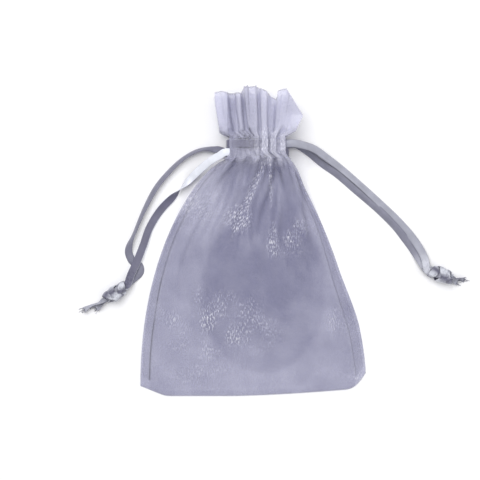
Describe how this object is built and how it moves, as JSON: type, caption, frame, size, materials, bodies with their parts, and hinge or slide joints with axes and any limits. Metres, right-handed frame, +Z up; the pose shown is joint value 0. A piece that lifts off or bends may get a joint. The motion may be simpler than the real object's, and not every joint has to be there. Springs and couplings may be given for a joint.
{
  "type": "drawstring gift pouch",
  "caption": "Sheer organza gift pouch lying flat, its neck drawn in by satin ribbons that run through a casing under a frilled header.",
  "frame": {"origin": "on the surface the pouch lies on, under the middle of the cloth without its free ribbons", "axes": "+X across the pouch, +Y from its bottom to its mouth, +Z up from the surface it lies on to its front"},
  "size_m": [0.1534, 0.1222, 0.012],
  "materials": {
    "organza": "sheer plain-weave organza with a slight glint, white to pale lilac",
    "organza_doubled": "the same organza, doubled in the casing and the header",
    "seam_allowance": "raw-edged organza, turned inside",
    "thread": "fine spun polyester thread",
    "satin_ribbon": "narrow satin ribbon, bright on one face and duller on the other"
  },
  "bodies": {
    "pouch": {"back_panel": "organza", "front_panel": "organza", "left_seam_allowance": "seam_allowance", "right_seam_allowance": "seam_allowance", "left_seam_thread": "thread", "right_seam_thread": "thread", "front_casing": "organza_doubled", "back_casing": "organza_doubled", "front_casing_lower_thread": "thread", "front_casing_upper_thread": "thread", "back_casing_lower_thread": "thread", "back_casing_upper_thread": "thread", "back_header": "organza_doubled"},
    "front_flap": {"front_header": "organza_doubled"},
    "left_drawstring": {"left_ribbon_run": "satin_ribbon", "left_ribbon_front_strand": "satin_ribbon", "left_ribbon_back_strand": "satin_ribbon", "left_knot": "satin_ribbon", "left_ribbon_tails": "satin_ribbon"},
    "right_drawstring": {"right_ribbon_run": "satin_ribbon", "right_ribbon_front_strand": "satin_ribbon", "right_ribbon_back_strand": "satin_ribbon", "right_knot": "satin_ribbon", "right_ribbon_tails": "satin_ribbon"}
  },
  "joints": [
    {"name": "left_pull", "type": "slide", "parent": "pouch", "child": "left_drawstring", "axis": [-1, 0, 0], "range_m": [0, 0.0022]},
    {"name": "right_pull", "type": "slide", "parent": "pouch", "child": "right_drawstring", "axis": [1, 0, 0], "range_m": [0, 0.0022]},
    {"name": "header_fold", "type": "hinge", "parent": "pouch", "child": "front_flap", "pos_m": [0, 0.04215, 0.012], "axis": [1, 0, 0], "range_deg": [0, 60]}
  ]
}
